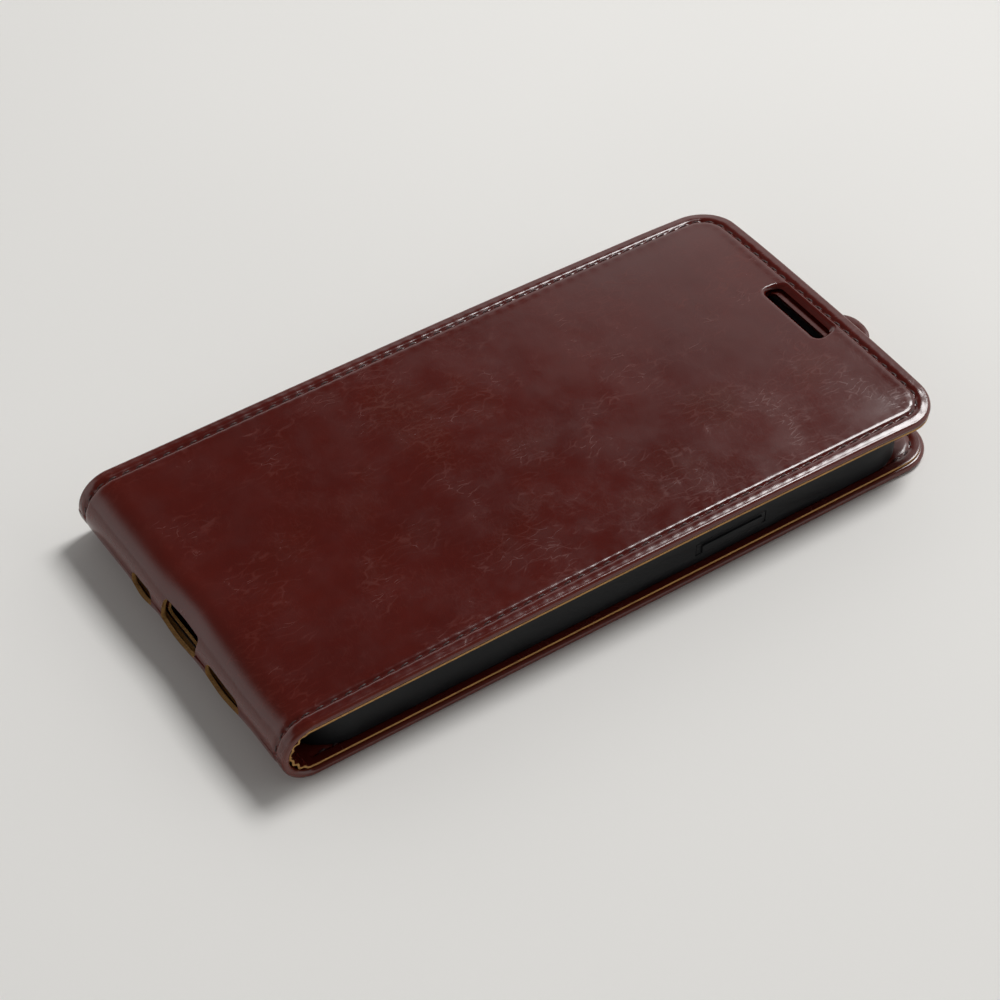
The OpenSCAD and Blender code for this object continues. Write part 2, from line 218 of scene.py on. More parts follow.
def close_and_turn_out(piece, reach=2e-6):
    shell = bmesh.new()
    shell.from_mesh(piece.data)
    bmesh.ops.remove_doubles(shell, verts=shell.verts, dist=reach)
    bmesh.ops.dissolve_degenerate(shell, dist=reach, edges=shell.edges)
    bmesh.ops.recalc_face_normals(shell, faces=shell.faces)
    shell.to_mesh(piece.data)
    shell.free()


def settle_modifiers(piece):
    """Turns a piece with its live modifiers into a plain mesh."""
    graph = bpy.context.evaluated_depsgraph_get()
    graph.update()
    made = bpy.data.meshes.new_from_object(piece.evaluated_get(graph), depsgraph=graph)
    made.name = piece.name
    piece.modifiers.clear()
    piece.data = made
    return piece


def shade(piece, degrees=38):
    piece.data.shade_smooth()
    piece.data.set_sharp_from_angle(angle=math.radians(degrees))


def cut(piece, cutter):
    for material in piece.data.materials:
        cutter.data.materials.append(material)
    if len(piece.data.materials) == 1:
        cutter.data.polygons.foreach_set("material_index", [0] * len(cutter.data.polygons))
    knife = piece.modifiers.new("cut", "BOOLEAN")
    knife.operation = "DIFFERENCE"
    knife.solver = "EXACT"
    knife.object = cutter
    settle_modifiers(piece)
    bpy.data.objects.remove(cutter)
    return piece


def edge_steps(radius):
    """Insets from an edge to its corner's centre, close together at the roll and the seam."""
    fine = [0, 0.03, 0.11, 0.24, 0.4, 0.6, 0.8, 1.05, 1.3, 1.6, 1.9, 2.15, 2.4, 2.6, 2.8]
    fine += [3.0, 3.2, 3.4, 3.6, 3.85, 4.2, 4.22, 4.6, 5.1, 5.6, 6.2, 6.8, 7.4, 8.0]
    return [s for s in fine if s < radius - 0.2] + [radius]


def panel_grid(half, end, start, radius, steps, across, along, round_start=False, bend_along=None):
    """Lays a grid in a rounded outline. Each point has x, run and its inset from the edge."""
    inner = half - radius
    n = max(1, round(inner / across))
    side = steps + [radius + inner * (i + 1) / n for i in range(n)]
    columns = [(-1, s) for s in side] + [(1, s) for s in side[-2::-1]]
    stop = start + radius if round_start else start
    rows = [(end - s, s, 1e3) for s in steps]
    spans = [(end - radius, stop, along)]
    if bend_along:
        spans = [(end - radius, BEND_Y, along), (BEND_Y, stop, bend_along)]
    for top, foot, step in spans:
        m = max(1, round((top - foot) / step))
        rows += [(top - (top - foot) * (j + 1) / m, 1e3, 1e3) for j in range(m)]
    if round_start:
        rows[-1] = (rows[-1][0], 1e3, radius)
        rows += [(start + s, 1e3, s) for s in steps[-2::-1]]
    grid = []
    for run, from_end, from_start in rows:
        line = []
        for sign, s in columns:
            e = min(from_end, from_start)
            x, y = half - s, run
            if s <= radius and e <= radius:
                ring = min(s, e)
                if ring >= radius:
                    angle = 0.0
                elif s <= e:
                    angle = math.pi / 4 * (radius - e) / (radius - s)
                else:
                    angle = math.pi / 2 - math.pi / 4 * (radius - s) / (radius - e)
                x = half - radius + (radius - ring) * math.cos(angle)
                up = (radius - ring) * math.sin(angle)
                y = end - radius + up if from_end <= from_start else start + radius - up
            line.append((sign * x, y, min(s, e)))
        grid.append(line)
    return grid


def seam_distance(x, run):
    """Distance along the seam from the middle of the free end, for a point near it."""
    straight = HALF_W - CORNER_R
    if abs(x) > straight and run > FREE_Y - CORNER_R:
        turn = math.atan2(abs(x) - straight, run - (FREE_Y - CORNER_R))
        return straight + SEAM_CORNER * turn
    if run > FREE_Y - CORNER_R:
        return abs(x)
    return straight + SEAM_CORNER * math.pi / 2 + (FREE_Y - CORNER_R - run)


def slab(name, grid, outer, inner, cover, materials, wall=0):
    """A closed sheet between two depth rules, laid over a grid on the folded case."""
    rows, columns = len(grid), len(grid[0])
    verts, faces, kinds = [], [], []
    for rule in (outer, inner):
        for line in grid:
            for x, run, inset in line:
                verts.append(on_sheet(x, run, rule(x, run, inset), cover) * MM)
    far = rows * columns
    for j in range(rows - 1):
        for i in range(columns - 1):
            a = j * columns + i
            b, c, d = a + 1, a + columns + 1, a + columns
            faces += [(a, b, c, d), (far + a, far + d, far + c, far + b)]
            kinds += [0, 0]
    rim = list(range(columns))
    rim += [j * columns + columns - 1 for j in range(1, rows)]
    rim += [(rows - 1) * columns + i for i in range(columns - 2, -1, -1)]
    rim += [j * columns for j in range(rows - 2, 0, -1)]
    for a, b in zip(rim, rim[1:] + rim[:1]):
        faces.append((b, a, far + a, far + b))
        kinds.append(wall)
    piece = new_piece(name, verts, faces, kinds, materials)
    close_and_turn_out(piece)
    return piece


def rounded_prism(name, x, y, z, w, h, r, depth, axis):
    """A rounded bar used as a cutter, run along an axis from its place."""
    verts, faces = [], []
    loop = []
    for k, (sx, sy) in enumerate([(1, 1), (-1, 1), (-1, -1), (1, -1)]):
        for i in range(9):
            a = math.radians(90 * k + 90 * i / 8)
            loop.append((sx * (w / 2 - r) + r * math.cos(a), sy * (h / 2 - r) + r * math.sin(a)))
    n = len(loop)
    for far in (0, depth):
        for u, v in loop:
            at = Vector((x + u, y + far, z + v)) if axis == "Y" else Vector((x + u, y + v, z + far))
            verts.append(at * MM)
    faces = [(i, (i + 1) % n, n + (i + 1) % n, n + i) for i in range(n)]
    faces += [tuple(range(n - 1, -1, -1)), tuple(range(n, 2 * n))]
    piece = new_piece(name, verts, faces, [1] * len(faces))
    close_and_turn_out(piece)
    return piece


def flared_slot(name, x, y, w, h, r, levels):
    """A cutter with a flared mouth. Levels are (height, growth at the sides and the
    hinge side, growth at the free side, material), from one end to the other."""
    verts, faces, kinds = [], [], []
    count = 52
    for z, grow, grow_free, _ in levels:
        for k, (sx, sy) in enumerate([(1, 1), (-1, 1), (-1, -1), (1, -1)]):
            for i in range(13):
                a = math.radians(90 * k + 90 * i / 12)
                u = sx * (w / 2 - r) + (r + grow) * math.cos(a)
                v = sy * (h / 2 - r) + (r + (grow_free if sy > 0 else grow)) * math.sin(a)
                verts.append(Vector((x + u, y + v, z)) * MM)
    for k in range(len(levels) - 1):
        for i in range(count):
            a, b = k * count + i, k * count + (i + 1) % count
            faces.append((a, b, b + count, a + count))
            kinds.append(levels[k][3])
    faces += [tuple(range(count - 1, -1, -1)), tuple(range(len(verts) - count, len(verts)))]
    kinds += [0, 0]
    piece = new_piece(name, verts, faces, kinds)
    close_and_turn_out(piece)
    return piece


def port_cutters(grow):
    """The three end slots as one cutter."""
    made = [
        rounded_prism("port_cut", x, HINGE_Y - 2, z + h / 2, w + 2 * grow, h + 2 * grow, r + grow, 10, "Y")
        for x, w, z, h, r in PORTS
    ]
    joined = bmesh.new()
    for piece in made:
        joined.from_mesh(piece.data)
    joined.to_mesh(made[0].data)
    joined.free()
    for piece in made[1:]:
        bpy.data.objects.remove(piece)
    return made[0]


def mark_hide(piece):
    """Gives a leather piece its place on the unrolled hide, and a share that makes it paler: real wear at the
    edges and a painted highlight round the upper bend.
    """
    mesh = piece.data
    mesh.attributes.new("hide", "FLOAT_VECTOR", "POINT")
    mesh.attributes.new("edge_wear_and_bend_highlight", "FLOAT", "POINT")
    places, edge_wear_and_bend_highlights = [], []
    for v in mesh.vertices:
        at = sheet_place(v.co / MM)
        places += list(at * MM)
        far = edge_distance(at.x, at.y, v.co.z / MM > MID_Z)
        # Painted highlight: paler leather round the upper bend, where the light falls on it.
        bend_highlight = bell(at.y, BEND_Y - math.pi * BEND_R * 0.62, 5.5)
        edge_wear_and_bend_highlights.append(bell(far, 0.1, 0.55) + 0.5 * bend_highlight)
    mesh.attributes["hide"].data.foreach_set("vector", places)
    mesh.attributes["edge_wear_and_bend_highlight"].data.foreach_set("value", edge_wear_and_bend_highlights)


# Finishes


def socket(node, name):
    found = node.inputs.get(name)
    if found is None:
        raise KeyError(f"{node.bl_idname} has no input {name}")
    return found


class Finish:
    """One procedural material, made node by node."""

    def __init__(self, name):
        self.material = bpy.data.materials.new(name)
        self.material.use_nodes = True
        self.tree = self.material.node_tree
        self.shader = self.tree.nodes["Principled BSDF"]

    def add(self, kind, settings=None, **inputs):
        node = self.tree.nodes.new(kind)
        for key, value in (settings or {}).items():
            setattr(node, key, value)
        for key, value in inputs.items():
            self.feed(node, key.replace("_", " "), value)
        return node

    def feed(self, node, name, value):
        slot = node.inputs[int(name[1:])] if name[0] == "n" and name[1:].isdigit() else socket(node, name)
        if isinstance(value, bpy.types.NodeSocket):
            self.tree.links.new(value, slot)
        else:
            slot.default_value = value

    def math(self, operation, a, b=0.0, clamped=False):
        node = self.add("ShaderNodeMath", {"operation": operation, "use_clamp": clamped})
        self.feed(node, "n0", a)
        self.feed(node, "n1", b)
        return node.outputs[0]

    def spread(self, value, low, high, to_low=0.0, to_high=1.0):
        node = self.add("ShaderNodeMapRange", {"interpolation_type": "SMOOTHSTEP"})
        names = ("Value", "From Min", "From Max", "To Min", "To Max")
        for name, number in zip(names, (value, low, high, to_low, to_high)):
            self.feed(node, name, number)
        return node.outputs["Result"]

    def blend(self, share, first, second, mode="MIX"):
        node = self.add("ShaderNodeMix", {"data_type": "RGBA", "blend_type": mode})
        self.feed(node, "n0", share)
        self.feed(node, "n6", first)
        self.feed(node, "n7", second)
        return node.outputs[2]

    def noise(self, vector, scale, detail=2.0, roughness=0.5, offset=0.0):
        moved = self.place(vector, (1, 1, 1), 0, offset)
        node = self.add("ShaderNodeTexNoise", {"noise_dimensions": "3D"})
        names = ("Vector", "Scale", "Detail", "Roughness")
        for name, number in zip(names, (moved, scale, detail, roughness)):
            self.feed(node, name, number)
        return node

    def place(self, vector, scale, turn=0.0, offset=0.0):
        node = self.add("ShaderNodeMapping")
        self.feed(node, "Vector", vector)
        self.feed(node, "Scale", scale)
        self.feed(node, "Rotation", (0, 0, math.radians(turn)))
        self.feed(node, "Location", (offset, offset * 0.7, offset * 0.3))
        return node.outputs["Vector"]

    def in_mm(self, attribute=None):
        if attribute:
            source = self.add("ShaderNodeAttribute", {"attribute_name": attribute}).outputs["Vector"]
        else:
            source = self.add("ShaderNodeTexCoord").outputs["Object"]
        node = self.add("ShaderNodeVectorMath", {"operation": "SCALE"})
        self.feed(node, "n0", source)
        self.feed(node, "Scale", 1000.0)
        return node.outputs[0]

    def bump(self, height, distance, strength=1.0, under=None):
        node = self.add("ShaderNodeBump")
        self.feed(node, "Strength", strength)
        self.feed(node, "Distance", distance)
        self.feed(node, "Height", height)
        if under is not None:
            self.feed(node, "Normal", under)
        return node.outputs["Normal"]

    def surface(self, **inputs):
        for key, value in inputs.items():
            self.feed(self.shader, key.replace("_", " "), value)
        return self.material


def srgb(r, g, b):
    def linear(c):
        c /= 255
        return c / 12.92 if c <= 0.04045 else ((c + 0.055) / 1.055) ** 2.4

    return (linear(r), linear(g), linear(b), 1.0)


def creases(finish, at, size, width, stretch, turn, patch_size, patch_low, offset):
    """Short broken hairlines: the edges of warped cells, kept only in patches."""
    drift = finish.noise(at, 0.16, 2.0, 0.5, offset)
    pulled = finish.add("ShaderNodeVectorMath", {"operation": "MULTIPLY_ADD"})
    finish.feed(pulled, "n0", drift.outputs["Color"])
    finish.feed(pulled, "n1", (5.0, 5.0, 0.0))
    finish.feed(pulled, "n2", at)
    cells = finish.add("ShaderNodeTexVoronoi", {"feature": "DISTANCE_TO_EDGE", "voronoi_dimensions": "3D"})
    finish.feed(cells, "Vector", finish.place(pulled.outputs[0], stretch, turn, offset))
    finish.feed(cells, "Scale", 1.0 / size)
    line = finish.spread(cells.outputs["Distance"], 0.0, 1.6 * width / size, 1.0, 0.0)
    patches = finish.noise(at, 1.0 / patch_size, 1.0, 0.5, offset + 11).outputs["Fac"]
    patch = finish.spread(patches, patch_low, patch_low + 0.12)
    broken = finish.spread(finish.noise(at, 0.55, 1.0, 0.5, offset + 23).outputs["Fac"], 0.36, 0.56)
    return finish.math("MULTIPLY", finish.math("MULTIPLY", line, patch), broken)


def glazed_leather(name, attribute, deep, warm, rough):
    """Waxed split leather with a glazed top, hairline creases and soft mottling."""
    f = Finish(name)
    at = f.in_mm(attribute)
    cloud = f.noise(at, 0.035, 3.0, 0.55, 3).outputs["Fac"]
    speck = f.noise(at, 0.33, 3.0, 0.6, 17).outputs["Fac"]
    colour = f.blend(f.spread(cloud, 0.25, 0.75), deep, warm)
    colour = f.blend(f.spread(speck, 0.25, 0.85, 0.0, 0.25), colour, srgb(60, 13, 8))
    short = creases(f, at, 1.5, 0.07, (1.0, 0.3, 1.0), 24, 14.0, 0.46, 0)
    long = creases(f, at, 2.6, 0.07, (1.0, 0.12, 1.0), -38, 21.0, 0.5, 40)
    fine = creases(f, at, 0.8, 0.05, (0.35, 1.0, 1.0), 65, 11.0, 0.46, 80)
    coarse = f.math("ADD", short, f.math("MULTIPLY", long, 0.7))
    lines = f.math("ADD", coarse, f.math("MULTIPLY", fine, 0.5), True)
    # Painted highlight: the crease hairlines are coloured lighter, as if they catch the light.
    colour = f.blend(f.math("MULTIPLY", lines, 0.14), colour, srgb(118, 48, 36))
    if attribute:
        # Paler colour for real wear at the edges and a painted highlight round the bend.
        edge_wear_and_bend_highlight = f.add("ShaderNodeAttribute", {"attribute_name": "edge_wear_and_bend_highlight"}).outputs["Fac"]
        colour = f.blend(f.math("MULTIPLY", edge_wear_and_bend_highlight, 0.45), colour, srgb(104, 44, 32))
    grain = f.noise(at, 2.6, 3.0, 0.6, 7).outputs["Fac"]
    swell = f.noise(at, 0.09, 2.0, 0.5, 29).outputs["Fac"]
    normal = f.bump(swell, 0.00006)
    normal = f.bump(grain, 0.000008, 1.0, normal)
    normal = f.bump(lines, 0.0000035, 1.0, normal)
    roughness = f.spread(f.noise(at, 0.12, 3.0, 0.6, 51).outputs["Fac"], 0.3, 0.7, rough - 0.04, rough + 0.05)
    roughness = f.math("ADD", roughness, f.math("MULTIPLY", lines, 0.08))
    return f.surface(Base_Color=colour, Roughness=roughness, Normal=normal, IOR=1.5)


def raw_edge(name):
    """The cut edge of split leather: golden fibres in thin layers."""
    f = Finish(name)
    at = f.in_mm()
    fibres = f.noise(f.place(at, (1.0, 1.0, 3.0), 0), 3.2, 4.0, 0.7).outputs["Fac"]
    stain = f.noise(at, 0.4, 2.0, 0.5, 9).outputs["Fac"]
    colour = f.blend(f.spread(fibres, 0.3, 0.7), srgb(150, 104, 56), srgb(206, 160, 92))
    colour = f.blend(f.spread(stain, 0.5, 0.75, 0.0, 0.5), colour, srgb(122, 80, 46))
    return f.surface(Base_Color=colour, Roughness=0.85, Normal=f.bump(fibres, 0.00008))


def waxed_thread(name):
    f = Finish(name)
    at = f.in_mm()
    strands = f.noise(at, 6.0, 2.0, 0.6).outputs["Fac"]
    colour = f.blend(f.spread(strands, 0.3, 0.7), srgb(34, 10, 8), srgb(66, 24, 18))
    return f.surface(Base_Color=colour, Roughness=0.5, Normal=f.bump(strands, 0.00003))


def grey_board(name):
    f = Finish(name)
    at = f.in_mm()
    pulp = f.noise(f.place(at, (1.0, 0.25, 1.0), 0), 2.2, 4.0, 0.7).outputs["Fac"]
    fleck = f.noise(at, 3.5, 1.0, 0.5, 5).outputs["Fac"]
    colour = f.blend(f.spread(pulp, 0.3, 0.7), srgb(150, 145, 134), srgb(186, 181, 168))
    colour = f.blend(f.spread(fleck, 0.66, 0.74, 0.0, 0.6), colour, srgb(96, 90, 82))
    return f.surface(Base_Color=colour, Roughness=0.92, Normal=f.bump(pulp, 0.00006))


def pressed_felt(name):
    """Bonded fibre that keeps the spine round."""
    f = Finish(name)
    at = f.in_mm()
    strands = f.noise(f.place(at, (0.5, 2.4, 2.4), 28), 2.4, 4.0, 0.7).outputs["Fac"]
    colour = f.blend(f.spread(strands, 0.35, 0.65), srgb(176, 170, 158), srgb(214, 209, 198))
    return f.surface(Base_Color=colour, Roughness=0.95, Normal=f.bump(strands, 0.0001))


def soft_black_plastic(name):
    """Satin moulded plastic with a spark-finished texture and faint flow marks."""
    f = Finish(name)
    at = f.in_mm()
    spark = f.noise(at, 4.2, 3.0, 0.65).outputs["Fac"]
    flow = f.noise(f.place(at, (0.25, 1.0, 0.6), 12), 0.12, 2.0, 0.5, 13).outputs["Fac"]
    colour = f.blend(f.spread(flow, 0.3, 0.7), srgb(14, 15, 17), srgb(20, 21, 23))
    colour = f.blend(f.spread(spark, 0.55, 0.8, 0.0, 0.3), colour, srgb(30, 31, 34))
    roughness = f.spread(flow, 0.3, 0.7, 0.42, 0.54)
    pitted = f.bump(spark, 0.00003)
    return f.surface(Base_Color=colour, Roughness=roughness, Normal=pitted, Specular_IOR_Level=0.2)


def milky_adhesive(name):
    f = Finish(name)
    at = f.in_mm()
    web = f.noise(f.place(at, (1.0, 0.4, 1.0), 35), 1.6, 3.0, 0.6).outputs["Fac"]
    colour = f.blend(f.spread(web, 0.3, 0.7), srgb(206, 202, 190), srgb(232, 229, 220))
    return f.surface(Base_Color=colour, Roughness=0.5, Normal=f.bump(web, 0.00004))


def nickel_plate(name):
    f = Finish(name)
    at = f.in_mm()
    brush = f.noise(f.place(at, (0.08, 6.0, 6.0), 0), 1.5, 3.0, 0.6).outputs["Fac"]
    roughness = f.spread(brush, 0.3, 0.7, 0.22, 0.42)
    colour = f.blend(f.spread(brush, 0.3, 0.7), srgb(170, 171, 172), srgb(198, 198, 196))
    return f.surface(Base_Color=colour, Metallic=1.0, Roughness=roughness, Normal=f.bump(brush, 0.000012))


def table_top(name):
    f = Finish(name)
    at = f.in_mm()
    tone = f.noise(at, 0.004, 2.0, 0.5).outputs["Fac"]
    tooth = f.noise(at, 1.2, 2.0, 0.6).outputs["Fac"]
    colour = f.blend(f.spread(tone, 0.3, 0.7), srgb(232, 231, 228), srgb(236, 235, 232))
    return f.surface(Base_Color=colour, Roughness=0.7, Normal=f.bump(tooth, 0.00001))


OUTER_LEATHER = glazed_leather("glazed_red_leather", "hide", srgb(72, 14, 7), srgb(80, 18, 10), 0.17)
LINING_LEATHER = glazed_leather("lining_leather", "hide", srgb(74, 17, 9), srgb(84, 24, 15), 0.22)
POCKET_LEATHER = glazed_leather("pocket_leather", None, srgb(76, 18, 10), srgb(86, 25, 16), 0.28)
RAW_EDGE = raw_edge("raw_golden_edge")
THREAD_FINISH = waxed_thread("waxed_brown_thread")
BOARD = grey_board("grey_board")
FELT = pressed_felt("pressed_felt")
TRAY_PLASTIC = soft_black_plastic("soft_black_plastic")
ADHESIVE = milky_adhesive("milky_adhesive")
NICKEL = nickel_plate("nickel_plate")
TABLE = table_top("pale_table")


def stands_for(piece, slot, *nodes):
    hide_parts(*nodes)
    return piece


def follow_fold(piece, cover):
    """Bakes the piece's transform into its mesh; both halves are treated alike."""
    if cover:
        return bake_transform(piece)
    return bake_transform(piece)


# Leather and lining


def bend_share(run):
    """0 on the flat panel, 1 at the middle of the spine."""
    return clamp((BEND_Y - run) / (BEND_R * math.pi / 2))


def bend_shape(x, run, cover):
    """Dents and lips of the leather round the bend, inwards positive."""
    if run > BEND_Y:
        return 0.0
    angle = math.degrees((BEND_Y - run) / BEND_R)
    dent = 0.0
    if cover:
        dent += 0.42 * bell(x, 1.5, 7.5) * bell(angle, 52, 24)
        dent -= 0.12 * bell(x, -20, 12) * bell(angle, 55, 25)
        dent -= 0.14 * bell(x, 24, 12) * bell(angle, 55, 25)
    else:
        for px, w, z, _, _ in PORTS:
            lip = math.degrees(math.acos(max(-1, min(1, (MID_Z - z) / BEND_R))))
            dent -= 0.5 * bell(x, px, w * 0.46) * bell(angle, lip, 14)
    return dent + 0.12 * ripple(x, run, 9.0, 4.0 if cover else 8.0) * bend_share(run)


def leather_half(name, cover):
    foot = BEND_Y - BEND_R * math.pi / 2
    steps = edge_steps(CORNER_R)
    grid = panel_grid(HALF_W, FREE_Y, foot, CORNER_R, steps, PITCH / 4, PITCH / 4, bend_along=0.42)
    roll = TURNED_T / 2

    def outer(x, run, inset):
        q = seam_distance(x, run)
        depth = stitch_pull(inset, q)
        if cover:
            depth -= stitch_puff(inset, q)
            depth -= 0.035 * ripple(x, run, 26.0, 2.0) * ease(inset / 6)
        depth += bend_shape(x, run, cover)
        if inset < roll:
            depth += roll - math.sqrt(max(0.0, roll**2 - (roll - inset) ** 2))
        elif inset < SEAM:
            depth += 0.04 * (1 - (inset - roll) / (SEAM - roll)) if cover else 0.0
        return depth

    def inner(x, run, inset):
        if inset < roll:
            round_off = math.sqrt(max(0.0, roll**2 - (roll - inset) ** 2))
            return TURNED_T - roll + round_off + bend_shape(x, run, cover)
        if inset <= TURN_W:
            return TURNED_T + bend_shape(x, run, cover)
        return SKIN_T + bend_shape(x, run, cover)

    piece = slab(name, grid, outer, inner, cover, [OUTER_LEATHER, RAW_EDGE])
    cut(piece, port_cutters(0.0))
    if cover:
        top = CASE_T + cover_rise(0, EARPIECE_Y)
        levels = [(top - 4, 0, 0, 0), (top - 1.5, 0, 0.15, 0), (top - 1.3, 0.03, 0.6, 0)]
        levels += [(top - 1.0, 0.1, 1.3, 0), (top - 0.7, 0.2, 1.8, 0)]
        levels += [(top - 0.4, 0.34, 2.2, 0), (top - 0.18, 0.55, 2.5, 0)]
        levels += [(top - 0.04, 0.85, 2.85, 0), (top + 0.06, 1.3, 3.3, 0)]
        cut(piece, flared_slot("earpiece_cut", 0, EARPIECE_Y - 0.65, 17.6, 2.7, 1.3, levels))
    else:
        x, y, w, h, r = CAMERA_WINDOW
        flare = [(-0.05, 0.8, 0), (0.08, 0.45, 0), (0.25, 0.18, 0)]
        flare += [(0.5, 0.03, 0), (0.7, 0.0, 1), (3.0, 0.0, 1)]
        levels = [(z, grow, grow, kind) for z, grow, kind in flare]
        cut(piece, flared_slot("camera_cut", x, y, w, h, r, levels))
        slit = rounded_prism("tab_slit", 0, FREE_Y - 3.45, 1.6, 2 * tab_high.x + 0.2, 9.3, 0.3, 4, "Z")
        slit.data.transform(Matrix.Translation((0, 0, (SKIN_T - 1.6) * MM)))
        cut(piece, slit)
    mark_hide(piece)
    shade(piece)
    return piece


back_leather = leather_half("back_leather", False)
stands_for(back_leather, "leather", "back_skin", "spine_skin")
follow_fold(back_leather, False)
cover_leather = leather_half("cover_leather", True)
stands_for(cover_leather, "leather", "cover_skin")
follow_fold(cover_leather, True)


def lining_wave(x, run, cover):
    """Ripples of the lining squeezed inside the bend, strongest at its sides."""
    share = ease(bend_share(run) * 2.2 + 0.12) if run < BEND_Y + 2.5 else 0.0
    if not share:
        return 0.0
    side = ease((abs(x) - 33) / 4.5)
    phase = (run - BEND_Y) * 2.0 + 1.6 * ripple(x, run, 9.0, 12.0) + (0.7 if cover else 2.1)
    wave = 0.5 + 0.5 * math.sin(phase)
    angle = math.degrees((BEND_Y - run) / BEND_R)
    kink = 0.45 * bell(angle, 47, 13) if cover else 0.25 * bell(angle, 58, 12)
    return share * ((0.1 + 0.36 * side) * wave + kink * (0.35 + 0.65 * side))


def lining_half(name, cover):
    half, end = HALF_W - LINING_INSET, FREE_Y - LINING_INSET
    radius = CORNER_R - LINING_INSET
    steps = [0, 0.04, 0.14, 0.4, 0.8, 1.2, 1.6, 1.85, 2.1, 2.35, 2.7, 3.2, 4.0, 5.2, 6.4, radius]
    foot = BEND_Y - BEND_R * math.pi / 2
    grid = panel_grid(half, end, foot, radius, steps, PITCH / 2, PITCH / 4, bend_along=0.3)
    spare = LINING_INSET - 0.35 if cover else 0.0

    def settle(x, run, inset):
        share = spare * (1 - ease(bend_share(run) * 2))
        x += x / half * share + math.copysign(scallop(x, run, inset), x)
        return x, run + share * ease((run - end + 25) / 25), inset

    grid = [[settle(*point) for point in line] for line in grid]

    def outer(x, run, inset):
        return TURNED_T + 0.01 + 0.04 * (1 - ease(inset / 0.14)) + lining_wave(x, run, cover)

    def inner(x, run, inset):
        q = seam_distance(x, run)
        depth = PANEL_T + lining_wave(x, run, cover) - 0.05 * (1 - ease(inset / 0.14))
        if run > BEND_Y:
            depth -= stitch_pull(inset + LINING_INSET - spare, q)
        return depth

    piece = slab(name, grid, outer, inner, cover, [LINING_LEATHER, RAW_EDGE], 1)
    cut(piece, port_cutters(0.05))
    if cover:
        top = CASE_T + cover_rise(0, EARPIECE_Y)
        levels = [(top - 4, 0, 0, 0), (top + 1, 0, 0, 0)]
        cut(piece, flared_slot("earpiece_cut", 0, EARPIECE_Y - 0.65, 17.8, 2.9, 1.4, levels))
    else:
        x, y, w, h, r = CAMERA_WINDOW
        cut(piece, flared_slot("camera_cut", x, y, w + 1, h + 1, r + 0.5, [(0.5, 0, 0, 1), (4, 0, 0, 1)]))
    mark_hide(piece)
    shade(piece)
    return piece


def scallop(x, run, inset):
    """The lining's raw side edge wanders a little where it goes round the bend."""
    share = ease(bend_share(run) * 2)
    return share * 0.28 * ripple(run * 1.7, 3.0, 1.5, 31.0 if x > 0 else 47.0) * (1 - ease(inset / 2.5))


back_lining = lining_half("back_lining_leather", False)
stands_for(back_lining, "lining", "back_lining", "spine_lining")
follow_fold(back_lining, False)
cover_lining = lining_half("cover_lining_leather", True)
stands_for(cover_lining, "lining", "cover_lining")
follow_fold(cover_lining, True)


# Stiffeners


EASED_EDGE = 0.1


def flat_rule(depth, sign=1):
    """A flat face whose edge is eased; slab gives every rule the same three values."""

    def rule(_x, _run, inset):
        return depth + sign * EASED_EDGE * (1 - ease(inset / EASED_EDGE)) * 0.5

    return rule


def stiffener(name, cover):
    inset = TURN_W + 0.12
    steps = [0, 0.05, 0.12, 0.6, 1.6, 3.0, CORNER_R - inset]
    grid = panel_grid(HALF_W - inset, FREE_Y - inset, BEND_Y + 1.7, CORNER_R - inset, steps, 3.0, 3.0)
    near, far = flat_rule(SKIN_T + 0.03), flat_rule(TURNED_T - 0.03, -1)
    piece = slab(name, grid, near, far, cover, [BOARD])
    if cover:
        top = CASE_T
        magnet_low, magnet_high = box_mm("cover_magnets")
        magnet_y = (magnet_low.y + magnet_high.y) / 2
        cut(piece, rounded_prism("earpiece_room", 0, EARPIECE_Y + 2, top - 6, 21.2, 15, 0.5, 8, "Z"))
        for side in (-1, 1):
            cut(piece, rounded_prism("magnet_room", side * 22.5, magnet_y, top - 6, 18.2, 7.2, 0.4, 8, "Z"))
    shade(piece)
    return piece


cover_board = stiffener("cover_stiffener", True)
stands_for(cover_board, "board", "cover_board")
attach(cover_board, "cover")


def felt_half(name, cover):
    low = BEND_Y - BEND_R * math.pi / 2
    high = BEND_Y - BEND_R * math.radians(49)
    grid = panel_grid(HALF_W - TURN_W - 0.15, high, low, 0.3, [0, 0.05, 0.12, 0.3], 1.5, 0.4)

    def outer(x, run, inset):
        return SKIN_T + 0.06 + bend_shape(x, run, cover)

    def inner(x, run, inset):
        return TURNED_T - 0.06 + bend_shape(x, run, cover)

    piece = slab(name, grid, outer, inner, cover, [FELT, RAW_EDGE])
    cut(piece, port_cutters(1.0))
    shade(piece)
    return piece


back_felt = felt_half("spine_felt_lower", False)
stands_for(back_felt, "board", "spine_interlining")
follow_fold(back_felt, False)
cover_felt = felt_half("spine_felt_upper", True)
stands_for(cover_felt, "board", "spine_interlining")
follow_fold(cover_felt, True)


# Card pockets


def card_pocket(name, low, high, top_depth, bulge):
    """A pocket leaf with a folded mouth towards the spine and three sewn sides."""
    half, length = high.x, high.y - low.y
    thick = high.z - low.z
    steps = [0, 0.03, 0.08, 0.16, 0.35, 0.7, 1.2, 1.6, 1.85, 2.0, 2.15, 2.4, 3.0]
    grid = panel_grid(half, high.y, low.y, 3.0, steps, PITCH / 2, PITCH / 4, round_start=True)

    def swell(x, run):
        t = clamp((run - low.y) / length)
        across = ease((half - 3 - abs(x)) / 10)
        return bulge * across * bell(t, 0.0, 0.35)

    def outer(x, run, inset):
        return top_depth + 0.015 + 0.5 * swell(x, run)

    def inner(x, run, inset):
        depth = top_depth + thick + swell(x, run) - 0.12 * (1 - ease(inset / 0.16))
        sewn = run > low.y + 3
        if sewn:
            depth -= 0.1 * bell(inset, 2.0, 0.3)
        depth -= 0.06 * bell(run, low.y + 2.6, 0.35) * ease((half - 3.2 - abs(x)) / 1.0)
        return depth

    piece = slab(name, grid, outer, inner, True, [POCKET_LEATHER, RAW_EDGE], 1)
    shade(piece, 50)
    return piece


